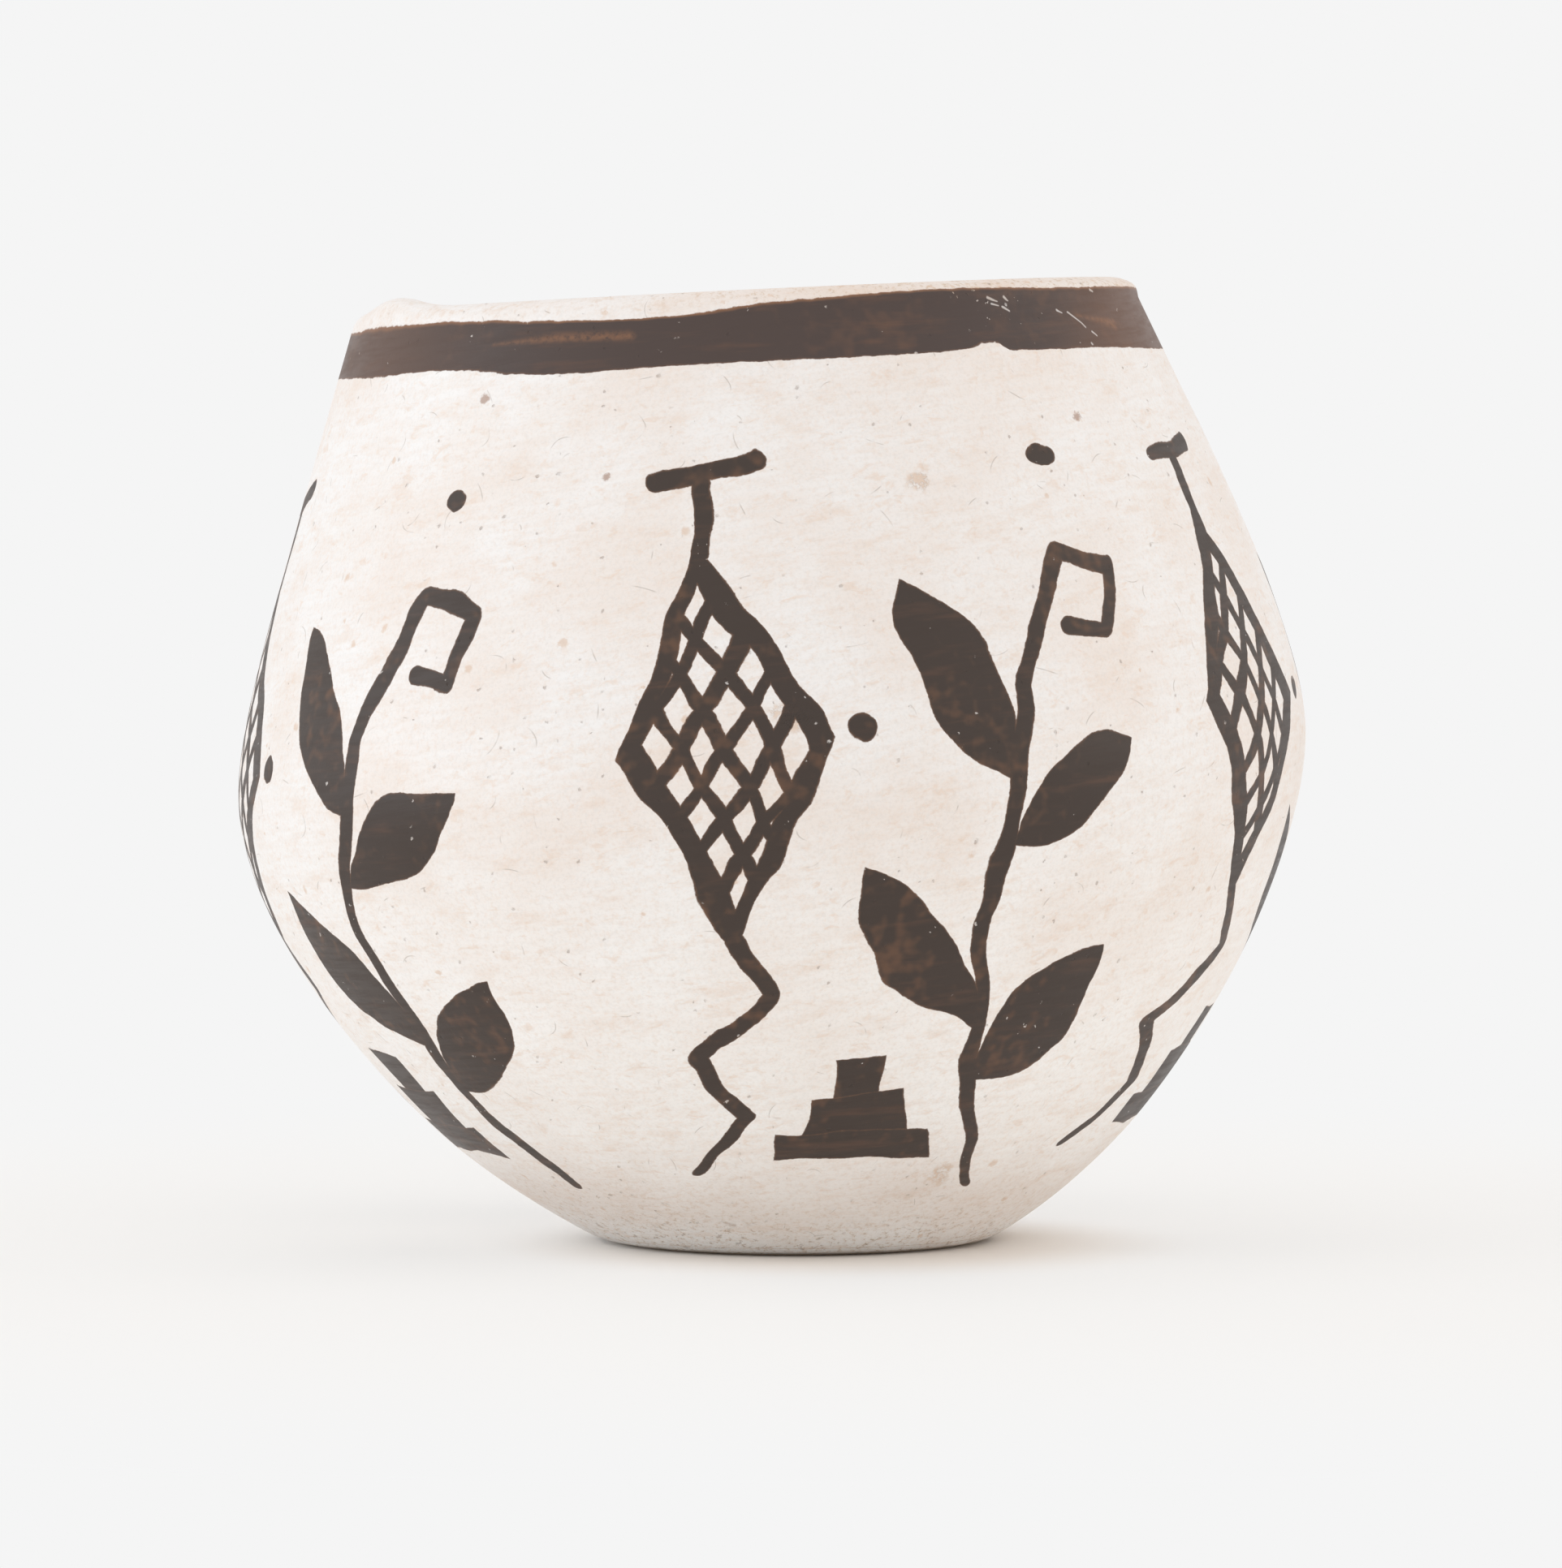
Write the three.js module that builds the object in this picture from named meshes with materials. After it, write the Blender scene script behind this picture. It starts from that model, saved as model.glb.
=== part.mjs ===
// A small hand-coiled clay pot with a white slip and a dark painted band under its lip.
// Millimetres, +Z up. The table top is Z = 0 and the origin lies under the middle of the pot.

import * as THREE from 'three';

const { degToRad, lerp, smoothstep } = THREE.MathUtils;

// Outline of the clay wall, seen from the side
const FOOT_FLAT_RADIUS = 10.7;
const FOOT_EDGE_ROUND = 4.4;
const FOOT_WALL_SLOPE = 30.1;
const BELLY_RADIUS = 32.6;
const BELLY_HEIGHT = 29.3;
const CREST_RADIUS = 22.7;
const CREST_HEIGHT = 57.9;
const NECK_LEAN = 20.9;

// How long the wall holds its direction at each end, as a share of that stretch's height
const FLARE_HOLD = 0.45;
const BELLY_HOLD_BELOW = 0.26;
const BELLY_HOLD_ABOVE = 0.16;
const NECK_HOLD = 0.63;

// Thickness of the clay
const FLOOR_THICKNESS = 3.4;
const FOOT_WALL = 3.9;
const BELLY_WALL = 3.2;
const LIP_RADIUS = 1.2;

// The base pad and the coils laid on it
const PAD_HEIGHT = 10.5;
const LAP_DROP = 1.8;
const COIL_SWELL = 0.3;
const COIL_NAMES = ['lower_wall_coil', 'belly_coil', 'shoulder_coil', 'neck_coil', 'rim_coil'];

// White slip over the outside and round the lip
const SLIP_THICKNESS = 0.3;
const SLIP_EDGE_THICKNESS = 0.1;
const SLIP_EDGE_HEIGHT = 1.3;
const SLIP_FEATHER = 3.0;
const SLIP_INSIDE_DEPTH = 3.5;

// Painted band round the outside of the neck
const BAND_DROP = 1.2;
const BAND_WIDTH = 3.6;
const PAINT_THICKNESS = 0.1;

// What the hand left: sideways drift in millimetres, lean in degrees, and the nub on the lip
const FOOT_DRIFT = 0.9;
const BELLY_DRIFT = -0.5;
const RIM_DRIFT = -2.3;
const BELLY_LEAN = 4.4;
const RIM_LEAN = 2.75;
const OUT_OF_ROUND = 0.35;
const NUB_ANGLE = 204;
const NUB_HEIGHT = 0.5;
const NUB_WIDTH = 9;
const NUB_DEPTH = 4.0;

// Fineness of the facets
const STEPS_ROUND = 60;
const ROWS_PER_COIL = 3;
const ROWS_ON_PAD = 3;
const ROWS_ON_BAND = 2;
const ROWS_ON_FLOOR = 3;
const ROWS_ON_FOOT_EDGE = 3;
const ROWS_ON_LIP = 6;
const HEIGHT_SEARCH_ROUNDS = 40;

const firedClay = { color: 0xcbb9a6, roughness: 0.95, metalness: 0 };
const whiteSlip = { color: 0xefe6dd, roughness: 0.62, metalness: 0 };
const darkPaint = { color: 0x493b35, roughness: 0.55, metalness: 0 };

// Side view: x is the distance from the axis and y is the height
const footSlope = degToRad(FOOT_WALL_SLOPE);
const neckLean = degToRad(NECK_LEAN);
const footRollCentre = new THREE.Vector2(FOOT_FLAT_RADIUS, FOOT_EDGE_ROUND);
const lipCentre = new THREE.Vector2(CREST_RADIUS, CREST_HEIGHT - LIP_RADIUS);
const belly = new THREE.Vector2(BELLY_RADIUS, BELLY_HEIGHT);

function polar(centre, radius, angle) {
  return new THREE.Vector2(Math.cos(angle), Math.sin(angle)).multiplyScalar(radius).add(centre);
}

function footRoll(turn) {
  return polar(footRollCentre, FOOT_EDGE_ROUND, turn - Math.PI / 2);
}

function lipRoll(share, radius) {
  return polar(lipCentre, radius, neckLean + Math.PI * share);
}

const footTop = footRoll(footSlope);
const neckTop = lipRoll(0, LIP_RADIUS);
const lowerStretch = belly.y - footTop.y;
const upperStretch = neckTop.y - belly.y;

const lowerWall = new THREE.CubicBezierCurve(
  footTop,
  polar(footTop, FLARE_HOLD * lowerStretch, footSlope),
  belly.clone().setY(belly.y - BELLY_HOLD_BELOW * lowerStretch),
  belly,
);
const upperWall = new THREE.CubicBezierCurve(
  belly,
  belly.clone().setY(belly.y + BELLY_HOLD_ABOVE * upperStretch),
  polar(neckTop, NECK_HOLD * upperStretch, neckLean - Math.PI / 2),
  neckTop,
);

// The place on the outer wall at a height, found by halving
function wallAt(height) {
  const curve = height < belly.y ? lowerWall : upperWall;
  let low = 0;
  let high = 1;
  for (let round = 0; round < HEIGHT_SEARCH_ROUNDS; round += 1) {
    const middle = (low + high) / 2;
    if (curve.getPoint(middle).y < height) {
      low = middle;
    } else {
      high = middle;
    }
  }
  const along = curve.getTangent(high);
  return { point: curve.getPoint(high), outward: new THREE.Vector2(along.y, -along.x) };
}

// A point under the outer surface: a positive depth goes into the clay
function under(height, depth) {
  const { point, outward } = wallAt(height);
  return point.addScaledVector(outward, -depth);
}

function wallThickness(height) {
  if (height < belly.y) {
    return lerp(FOOT_WALL, BELLY_WALL, (height - footTop.y) / lowerStretch);
  }
  return lerp(BELLY_WALL, 2 * LIP_RADIUS, (height - belly.y) / upperStretch);
}

function slipThickness(height) {
  const cover = smoothstep(height, SLIP_EDGE_HEIGHT, SLIP_EDGE_HEIGHT + SLIP_FEATHER);
  return lerp(SLIP_EDGE_THICKNESS, SLIP_THICKNESS, cover);
}

// Evenly spaced values from one to the other, both included
function evenly(from, to, parts) {
  return Array.from({ length: parts + 1 }, (_, part) => lerp(from, to, part / parts));
}

// Heights of the rows on the outer wall, from the foot to the start of the lip
const coilCount = COIL_NAMES.length;
const coilHeight = (CREST_HEIGHT - PAD_HEIGHT) / coilCount;
const seamHeights = COIL_NAMES.map((_, coil) => PAD_HEIGHT + coil * coilHeight);
const bandTop = CREST_HEIGHT - BAND_DROP;
const bandRows = evenly(bandTop - BAND_WIDTH, bandTop, ROWS_ON_BAND);
const padRows = [footTop.y, ...evenly(SLIP_EDGE_HEIGHT, PAD_HEIGHT, ROWS_ON_PAD)];

function outerRows(coil) {
  const bottom = seamHeights[coil];
  if (coil === coilCount - 1) {
    return [bottom, ...bandRows, neckTop.y];
  }
  return evenly(bottom, seamHeights[coil + 1], ROWS_PER_COIL);
}

// On the inside each coil starts lower, where it is lapped over the one below
function innerRows(coil) {
  const bottom = seamHeights[coil] - LAP_DROP;
  if (coil === coilCount - 1) {
    return [...evenly(bottom, neckTop.y - SLIP_INSIDE_DEPTH, ROWS_PER_COIL - 1), neckTop.y];
  }
  return evenly(bottom, seamHeights[coil + 1] - LAP_DROP, ROWS_PER_COIL);
}

function outerWall(rows) {
  return rows.map((height) => under(height, 0));
}

// The inner face of a coil swells a little between its seams
function innerWall(coil, cover = 0) {
  const rows = innerRows(coil);
  const bottom = rows[0];
  const span = rows[rows.length - 1] - bottom;
  return rows.map((height) => {
    const swell = COIL_SWELL * Math.sin((Math.PI * (height - bottom)) / span);
    return under(height, wallThickness(height) + swell + cover);
  });
}

function lipArc(radius) {
  return evenly(0, 1, ROWS_ON_LIP).map((share) => lipRoll(share, radius));
}

// Cross-sections: each is a loop of points that runs up the outside and down the inside
function basePadSection() {
  const footEdge = evenly(0, footSlope, ROWS_ON_FOOT_EDGE).slice(0, -1).map(footRoll);
  const insideRows = evenly(footTop.y, PAD_HEIGHT - LAP_DROP, ROWS_ON_PAD);
  const inside = insideRows.map((height) => under(height, wallThickness(height)));
  const floorEdge = inside[0];
  const floor = evenly(0, 1, ROWS_ON_FLOOR).slice(0, -1).map((share) => {
    const rise = lerp(FLOOR_THICKNESS, floorEdge.y, share * share);
    return new THREE.Vector2(floorEdge.x * share, rise);
  });
  return [
    new THREE.Vector2(0, 0),
    ...footEdge,
    ...outerWall(padRows),
    ...inside.reverse(),
    ...floor.reverse(),
  ];
}

function coilSection(coil) {
  const outside = outerWall(outerRows(coil));
  const inside = innerWall(coil).reverse();
  if (coil === coilCount - 1) {
    return [...outside, ...lipArc(LIP_RADIUS).slice(1, -1), ...inside];
  }
  return [...outside, ...inside];
}

function slipSection() {
  const coilRows = COIL_NAMES.flatMap((_, coil) => outerRows(coil).slice(1));
  const rows = [...padRows.slice(1), ...coilRows];
  const mouthClay = innerWall(coilCount - 1).slice(-2);
  const mouthEdge = innerWall(coilCount - 1, SLIP_EDGE_THICKNESS).slice(-2, -1);
  return [
    ...rows.map((height) => under(height, -slipThickness(height))),
    ...lipArc(LIP_RADIUS + SLIP_THICKNESS).slice(1),
    ...mouthEdge,
    ...mouthClay,
    ...lipArc(LIP_RADIUS).reverse().slice(1, -1),
    ...outerWall(rows).reverse(),
  ];
}

function bandSection() {
  const seat = bandRows.map((height) => under(height, -slipThickness(height)));
  const face = bandRows.map((height) => under(height, -slipThickness(height) - PAINT_THICKNESS));
  return [...face, ...seat.reverse()];
}

// A smooth value through those at the table, the belly and the crest
function through(atFoot, atBelly, atCrest, height) {
  const low = (height * (height - CREST_HEIGHT)) / (BELLY_HEIGHT * (BELLY_HEIGHT - CREST_HEIGHT));
  const high = (height * (height - BELLY_HEIGHT)) / (CREST_HEIGHT * (CREST_HEIGHT - BELLY_HEIGHT));
  const rest = ((height - BELLY_HEIGHT) * (height - CREST_HEIGHT)) / (BELLY_HEIGHT * CREST_HEIGHT);
  return atFoot * rest + atBelly * low + atCrest * high;
}

// Carries a point of the side view round the pot, with the drift, lean and nub of the hand
function byHand(point, turn) {
  const height = point.y;
  const bulge = OUT_OF_ROUND * Math.sin(2 * turn) * Math.sin((Math.PI * height) / CREST_HEIGHT);
  const reach = point.x === 0 ? 0 : point.x + bulge;
  const across = reach * Math.cos(turn);
  const lean = degToRad(through(0, BELLY_LEAN, RIM_LEAN, height));
  const offNub = (turn - degToRad(NUB_ANGLE)) / degToRad(NUB_WIDTH);
  const nub = NUB_HEIGHT * Math.exp(-offNub * offNub);
  const nearLip = smoothstep(height, CREST_HEIGHT - NUB_DEPTH, CREST_HEIGHT);
  return new THREE.Vector3(
    across + through(FOOT_DRIFT, BELLY_DRIFT, RIM_DRIFT, height),
    reach * Math.sin(turn),
    height + across * Math.tan(lean) + nub * nearLip,
  );
}

// Sweeps a cross-section round the pot. Faces shared by two pieces are split the same way.
function shaped(name, section, finish) {
  const positions = [];
  const starts = section.map((point) => {
    const start = positions.length / 3;
    const copies = point.x === 0 ? 1 : STEPS_ROUND;
    for (let step = 0; step < copies; step += 1) {
      positions.push(...byHand(point, (2 * Math.PI * step) / STEPS_ROUND).toArray());
    }
    return start;
  });
  const corner = (row, step) => starts[row] + (section[row].x === 0 ? 0 : step % STEPS_ROUND);
  const faces = [];
  section.forEach((point, row) => {
    const next = (row + 1) % section.length;
    const rising = section[next].y > point.y;
    const split = rising ? [[0, 1, 2], [0, 2, 3]] : [[0, 1, 3], [1, 2, 3]];
    for (let step = 0; step < STEPS_ROUND; step += 1) {
      const near = [corner(row, step), corner(row, step + 1)];
      const far = [corner(next, step + 1), corner(next, step)];
      const ring = [...near, ...far];
      const halves = split.map((half) => half.map((place) => ring[place]));
      halves.filter((half) => new Set(half).size === 3).forEach((half) => faces.push(...half));
    }
  });
  const geometry = new THREE.BufferGeometry();
  geometry.setAttribute('position', new THREE.Float32BufferAttribute(positions, 3));
  geometry.setIndex(faces);
  geometry.computeVertexNormals();
  const mesh = new THREE.Mesh(geometry, new THREE.MeshStandardMaterial(finish));
  mesh.name = name;
  return mesh;
}

const pot = new THREE.Group();
pot.add(shaped('base_pad', basePadSection(), firedClay));
COIL_NAMES.forEach((name, coil) => pot.add(shaped(name, coilSection(coil), firedClay)));
pot.add(shaped('slip_coat', slipSection(), whiteSlip));
pot.add(shaped('rim_band', bandSection(), darkPaint));

// The origin lies on the table under the middle of the pot's width
const middle = new THREE.Box3().setFromObject(pot).getCenter(new THREE.Vector3());
pot.position.set(-middle.x, -middle.y, 0);

export default pot;
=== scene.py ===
"""Dresses a small hand-coiled clay pot: lapped clay coils, a polished white slip and brushed dark paint."""

import math
from functools import reduce

import bpy
import numpy as np
from bpy.props import FloatProperty, FloatVectorProperty, IntProperty, PointerProperty
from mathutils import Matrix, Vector


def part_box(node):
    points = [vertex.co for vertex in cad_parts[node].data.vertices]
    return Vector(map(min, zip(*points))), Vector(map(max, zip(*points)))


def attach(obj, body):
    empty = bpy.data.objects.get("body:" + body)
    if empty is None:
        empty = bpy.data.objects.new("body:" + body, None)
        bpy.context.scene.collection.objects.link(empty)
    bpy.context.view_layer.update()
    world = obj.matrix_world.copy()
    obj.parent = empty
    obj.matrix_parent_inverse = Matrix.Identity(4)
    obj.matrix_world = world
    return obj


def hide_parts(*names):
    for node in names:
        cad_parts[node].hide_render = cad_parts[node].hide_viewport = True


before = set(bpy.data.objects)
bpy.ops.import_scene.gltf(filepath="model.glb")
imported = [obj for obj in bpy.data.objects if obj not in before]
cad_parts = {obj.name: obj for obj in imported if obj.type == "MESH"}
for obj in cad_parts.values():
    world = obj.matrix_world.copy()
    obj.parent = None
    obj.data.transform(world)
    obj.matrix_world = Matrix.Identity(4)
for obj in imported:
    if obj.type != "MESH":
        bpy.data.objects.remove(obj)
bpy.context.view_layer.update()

bl_info = {
    "name": "Coiled clay pot",
    "version": (1, 0, 0),
    "blender": (4, 5, 0),
    "location": "3D View > Sidebar > Clay pot",
    "description": "Builds a slipped and painted clay pot on its packed frame",
    "category": "Object",
}

MM = 0.001
FULL_TURN = 2 * math.pi


# ---- Sizes and colours ----


def number(name, description, default, **limits):
    return FloatProperty(name=name, description=description, default=default, **limits)


def length(name, description, default):
    return number(name, description, default, unit="LENGTH", precision=5)


def angle(name, description, degrees):
    return number(name, description, math.radians(degrees), unit="ROTATION")


def share(name, description, default):
    return number(name, description, default, min=0, max=1)


def count(name, description, default):
    return IntProperty(name=name, description=description, default=default, min=1)


def colour(name, description, *chart):
    """A colour given in the 0 to 255 values of a colour chart."""
    linear = [v / 12.92 if v <= 0.04045 else ((v + 0.055) / 1.055) ** 2.4 for v in (c / 255 for c in chart)]
    return FloatVectorProperty(name=name, description=description, default=linear, size=3, subtype="COLOR")


class PotSizes(bpy.types.PropertyGroup):
    """The wall as seen from the side."""

    foot_radius: length("Foot radius", "Radius of the flat that the pot stands on", 0.0107)
    foot_round: length("Foot round", "Radius of the rolled edge of the foot", 0.0044)
    foot_slope: angle("Foot slope", "Slope of the wall where it leaves the foot", 30.1)
    belly_radius: length("Belly radius", "Radius of the clay at its widest line", 0.0326)
    belly_height: length("Belly height", "Height of the widest line", 0.0293)
    crest_radius: length("Lip radius", "Radius of the circle through the top of the lip", 0.0227)
    crest_height: length("Lip height", "Height of the clay lip before the lean", 0.0579)
    neck_lean: angle("Neck lean", "How far the neck leans in below the lip", 20.9)
    flare_hold: share("Flare hold", "How long the wall keeps the slope of the foot", 0.45)
    belly_hold_below: share("Belly hold below", "How long the wall stays upright under the belly", 0.26)
    belly_hold_above: share("Belly hold above", "How long the wall stays upright over the belly", 0.16)
    neck_hold: share("Neck hold", "How long the wall keeps the lean of the neck", 0.63)
    floor_thickness: length("Floor thickness", "Clay under the inside floor", 0.0034)
    foot_wall: length("Foot wall", "Thickness of the wall at the foot", 0.0039)
    belly_wall: length("Belly wall", "Thickness of the wall at the belly", 0.0032)
    lip_round: length("Lip round", "Half the thickness of the clay at the lip", 0.0012)
    pad_height: length("Pad height", "Height to which the base pad is turned up", 0.0105)
    lap_drop: length("Lap drop", "How far each coil is lapped down inside", 0.0018)
    coil_swell: length("Coil swell", "How far each coil stands proud on the inside", 0.00045)
    slip_thickness: length("Slip thickness", "Thickness of the white slip", 0.00028)
    slip_edge: length("Slip edge", "Height of the slip's lower edge over the table", 0.00015)
    slip_feather: length("Slip feather", "Height over which the slip grows to its thickness", 0.0075)
    slip_inside: length("Slip inside", "How far the slip runs down inside the lip", 0.0035)


class PotHand(bpy.types.PropertyGroup):
    """What the hand left in the shape."""

    foot_drift: length("Foot drift", "Sideways place of the foot", 0.0009)
    belly_drift: length("Belly drift", "Sideways place of the belly", -0.0005)
    rim_drift: length("Rim drift", "Sideways place of the rim", -0.0023)
    belly_lean: angle("Belly lean", "Lean of the widest line", 4.4)
    rim_lean: angle("Rim lean", "Lean of the rim", 2.75)
    out_of_round: length("Out of round", "How far the plan departs from a circle", 0.00035)
    nub_turn: angle("Nub turn", "Place of the nub round the lip", 204)
    nub_height: length("Nub height", "Height of the nub", 0.00068)
    nub_width: angle("Nub width", "Half width of the nub round the lip", 9)
    nub_depth: length("Nub depth", "How far down the wall the nub is felt", 0.0012)
    lip_corner: share("Lip corner", "How square the lip's outer edge is on the higher side", 0.18)
    wave_depth: length("Wave depth", "Depth of the soft hollows that the hand leaves", 0.00004)
    wave_low: length("Short wave", "Shortest width of those hollows", 0.009)
    wave_high: length("Long wave", "Longest width of those hollows", 0.030)


class PotColours(bpy.types.PropertyGroup):
    """Colours of clay, slip and paint."""

    slip: colour("Slip", "White slip, well polished", 243, 240, 238)
    # Painted bounce light: the slip is made paler low on the wall for the light the table throws up onto it.
    slip_thick: colour("Slip with painted bounce", "White slip where it ran thickest, low on the wall", 252, 250, 248)
    buff: colour("Buff", "Slip where the clay shows through", 233, 216, 203)
    blush: colour("Blush", "Warm fired blotches in the slip", 229, 202, 180)
    spot: colour("Spot", "Small orange-buff spots", 214, 178, 146)
    powder: colour("Powder", "Fine grey grain of the slip", 196, 192, 188)
    grain: colour("Grain", "Single grains of red-brown temper", 160, 122, 100)
    speck: colour("Speck", "Dark grit and pits", 140, 118, 100)
    crack: colour("Hairline", "Fine cracks in the slip", 170, 158, 148)
    scrape: colour("Scrape", "Scraped slip over the foot", 216, 197, 184)
    clay: colour("Clay", "Fired clay without slip", 208, 186, 163)
    clay_dark: colour("Dark clay", "Fired clay in its hollows", 170, 150, 124)
    paint: colour("Paint", "Dark mineral paint laid on full", 62, 50, 43)
    # Partly real and partly painted glare: the band's paint is laid on less dark, and its paler tone also
    # carries the glare over the lip.
    band: colour("Band", "The paint of the band, laid on less dark", 74, 60, 55)
    paint_thin: colour("Thin paint", "The same paint laid on thin", 108, 76, 58)
    paint_edge: colour("Paint edge", "Watery paint along an edge or over a spot", 146, 102, 72)


class PotDetail(bpy.types.PropertyGroup):
    """Fineness of the meshes and of the painted work."""

    skin_steps: count("Skin steps", "Steps of the slip round the pot", 384)
    skin_rows: count("Skin rows", "Rows of the slip up the wall", 156)
    clay_steps: count("Clay steps", "Steps of each coil round the pot", 180)
    clay_rows: count("Clay rows", "Rows on the inner face of each coil", 22)
    repeats: count("Repeats", "Repeats of the frieze round the pot", 5)
    frieze_turn: angle("Frieze turn", "Turns the frieze round the pot", -64)


class PotStage(bpy.types.PropertyGroup):
    """Camera, lamps and table."""

    camera_distance: length("Camera distance", "From the pot to the camera", 0.535)
    camera_height: length("Camera height", "Height of the camera over the table", 0.0506)
    camera_aside: length("Camera aside", "Sideways place of the camera", 0.00051)
    camera_pitch: angle("Camera pitch", "How far the camera looks down", 2.41)
    camera_lens: number("Lens", "Focal length on a 36 mm wide sensor", 199.38, unit="CAMERA")
    left_lamp: number("Left lamp", "Power of the large lamp on the left", 3.8, min=0)
    right_lamp: number("Right lamp", "Power of the large lamp on the right", 1.6, min=0)
    top_lamp: number("Top lamp", "Power of the large lamp overhead", 0.5, min=0)
    ambient: number("Ambient", "Strength of the even light from all round", 0.89, min=0)
    white: colour("White", "What the camera sees of table and backdrop", 245, 245, 245)
    # The table's warm tint is painted bounce light: it gives the shadow near the pot the warm light the clay
    # throws into it.
    table: colour("Table", "The table top's own colour", 250, 246, 241)


# ---- The side view ----


def bezier(points, parts):
    """Places along a curve that leaves its first point and meets its last as the two between them say."""
    along = np.linspace(0, 1, parts + 1)[:, None]
    rest = 1 - along
    weights = [rest**3, 3 * rest**2 * along, 3 * rest * along**2, along**3]
    return sum(weight * np.array(point) for weight, point in zip(weights, points))


def arc(centre, radius, start, end, parts):
    """Places along part of a circle."""
    turns = np.linspace(start, end, parts + 1)
    return np.array(centre) + radius * np.stack([np.cos(turns), np.sin(turns)], 1)


def smooth(value, low, high):
    """Rises smoothly from 0 at low to 1 at high."""
    part = np.clip((value - low) / (high - low), 0, 1)
    return part * part * (3 - 2 * part)


class Outline:
    """Outer face of the clay from the foot to the lip: places, lengths along it and outward directions."""

    FINENESS = 300

    def __init__(self, sizes):
        self.sizes = sizes
        slope, lean = sizes.foot_slope, sizes.neck_lean
        foot_middle = (sizes.foot_radius, sizes.foot_round)
        foot = arc(foot_middle, sizes.foot_round, -math.pi / 2, slope - math.pi / 2, self.FINENESS)
        lip_middle = (sizes.crest_radius, sizes.crest_height - sizes.lip_round)
        lip = arc(lip_middle, sizes.lip_round, lean, lean + math.pi, self.FINENESS)
        foot_top, neck_top = foot[-1], lip[0]
        belly = np.array([sizes.belly_radius, sizes.belly_height])
        self.lower, self.upper = belly[1] - foot_top[1], neck_top[1] - belly[1]
        up = np.array([0, 1])
        leaves_foot = foot_top + sizes.flare_hold * self.lower * np.array([math.cos(slope), math.sin(slope)])
        nears_belly = belly - sizes.belly_hold_below * self.lower * up
        leaves_belly = belly + sizes.belly_hold_above * self.upper * up
        nears_neck = neck_top + sizes.neck_hold * self.upper * np.array([math.sin(lean), -math.cos(lean)])
        lower_wall = bezier([foot_top, leaves_foot, nears_belly, belly], self.FINENESS)
        upper_wall = bezier([belly, leaves_belly, nears_neck, neck_top], self.FINENESS)
        wall = np.concatenate([foot, lower_wall[1:], upper_wall[1:]])
        self.wall_points = len(wall)
        self.places = np.concatenate([wall, lip[1:]])
        steps = np.hypot(*np.diff(self.places, axis=0).T)
        self.along = np.concatenate([[0], np.cumsum(steps)])
        self.lip_start, self.lip_end = self.along[self.wall_points - 1], self.along[-1]
        tangent = np.gradient(self.places, axis=0)
        tangent /= np.hypot(*tangent.T)[:, None]
        self.outward = np.stack([tangent[:, 1], -tangent[:, 0]], 1)
        self.foot_top, self.neck_top = foot_top[1], neck_top[1]

    def length_at(self, height):
        """Length along the outline at which the wall reaches a height."""
        return np.interp(height, self.places[: self.wall_points, 1], self.along[: self.wall_points])

    def place(self, along, depth=0.0):
        """Places at lengths along the outline; a positive depth goes into the clay."""
        spot, outward = (
            np.stack([np.interp(along, self.along, column) for column in table.T], 1)
            for table in (self.places, self.outward)
        )
        return spot - outward * np.broadcast_to(depth, np.shape(along))[:, None]

    def thickness(self, height):
        """The wall's thickness: straight from the foot to the belly, and on to the lip."""
        sizes = self.sizes
        below = sizes.foot_wall + (sizes.belly_wall - sizes.foot_wall) * (height - self.foot_top) / self.lower
        lip_share = (height - sizes.belly_height) / self.upper
        above = sizes.belly_wall + (2 * sizes.lip_round - sizes.belly_wall) * lip_share
        return np.where(height < sizes.belly_height, below, above)

    def inside(self, heights, proud=0.0):
        """Places on the wall's inner face, each as far across the wall as it is thick there."""
        return self.place(self.length_at(heights), self.thickness(heights) + proud)

    def slip_depth(self, height):
        sizes = self.sizes
        return sizes.slip_thickness * smooth(height, sizes.slip_edge, sizes.slip_edge + sizes.slip_feather)


# ---- The hand's lopsided shape ----

WAVE_SEED = 11
WAVES = 26
CORNER_SIDE = (-0.3, 0.8)


def through(values, sizes, height):
    """A smooth value through those at the table, the belly and the crest."""
    at_foot, at_belly, at_crest = values
    belly, crest = sizes.belly_height, sizes.crest_height
    low = height * (height - crest) / (belly * (belly - crest))
    high = height * (height - belly) / (crest * (crest - belly))
    rest = (height - belly) * (height - crest) / (belly * crest)
    return at_foot * rest + at_belly * low + at_crest * high


def hand_waves(hand, reach, turn, height):
    """Soft shallow hollows, the same on every piece at the same place."""
    draw = np.random.default_rng(WAVE_SEED)
    total = np.zeros_like(reach)
    for _ in range(WAVES):
        heading = draw.normal(size=3)
        heading /= np.linalg.norm(heading)
        pace = FULL_TURN / draw.uniform(hand.wave_low, hand.wave_high)
        start = draw.uniform(0, FULL_TURN)
        spot = reach * np.cos(turn) * heading[0] + reach * np.sin(turn) * heading[1] + height * heading[2]
        total += np.sin(pace * spot + start)
    return hand.wave_depth * (np.tanh(total / math.sqrt(WAVES / 2)) - 1)


def drift_at(height):
    """How far aside the hand left the wall at a height."""
    sizes, hand = bpy.context.scene.pot_sizes, bpy.context.scene.pot_hand
    return through((hand.foot_drift, hand.belly_drift, hand.rim_drift), sizes, height)


def sideways_shift(outline):
    """What sets the lopsided pot over the middle of its frame."""
    faces = outline.place(outline.along, -outline.slip_depth(outline.places[:, 1]))
    drift = drift_at(faces[:, 1])
    own_middle = ((faces[:, 0] + drift).max() + (drift - faces[:, 0]).min()) / 2
    low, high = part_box("slip_coat")
    return (low.x + high.x) / 2 - own_middle


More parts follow.
